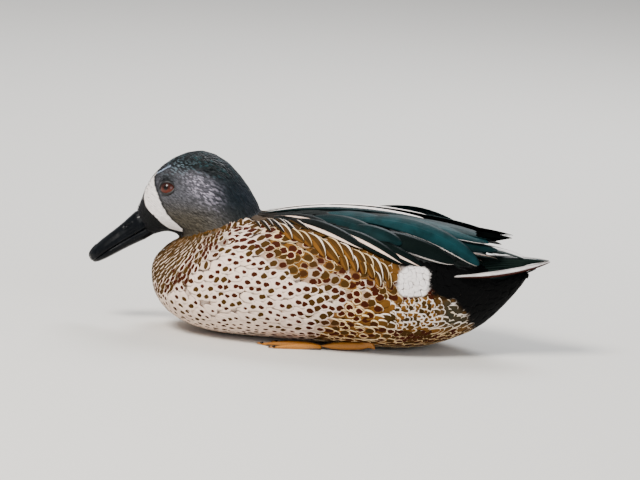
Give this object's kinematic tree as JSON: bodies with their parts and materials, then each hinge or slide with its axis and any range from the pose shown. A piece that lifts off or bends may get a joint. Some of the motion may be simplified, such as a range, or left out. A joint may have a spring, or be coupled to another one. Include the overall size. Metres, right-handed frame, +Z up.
{
  "type": "blue-winged teal drake",
  "caption": "Life-size still model of a drake blue-winged teal resting on its belly, neck drawn in, bill lowered, wings folded and feet tucked under.",
  "frame": {"origin": "on the floor under the middle of the whole bird's box, at the level of the belly's resting flat and the feet", "axes": "+Z up, -Y the way the bill points, +X the bird's left side"},
  "size_m": [0.1278, 0.3008, 0.1167],
  "materials": {
    "head_feathers": "slate blue-grey feathers with a slight gloss, white crescent before the eye",
    "body_feathers": "golden buff feathers with round dark brown spots",
    "stern_feathers": "black, faintly glossy feathers",
    "wing_feathers": "blackish long feathers with a green gloss and buff shafts",
    "tail_feathers": "dark brown feathers with pale edges",
    "bill_horn": "smooth black horn, wet gloss",
    "eye": "clear wet gloss over a red-brown iris",
    "leg_skin": "scaly yellow-orange skin, dusky webs"
  },
  "bodies": {
    "root": {"head": "head_feathers", "neck": "head_feathers", "trunk": "body_feathers", "rump": "stern_feathers", "tail": "tail_feathers", "bill_upper": "bill_horn", "bill_lower": "bill_horn", "eye_left": "eye", "eye_right": "eye", "wing_left": "wing_feathers", "wing_right": "wing_feathers", "primaries_left": "wing_feathers", "primaries_right": "wing_feathers", "leg_left": "leg_skin", "leg_right": "leg_skin", "foot_left": "leg_skin", "foot_right": "leg_skin"}
  },
  "joints": []
}
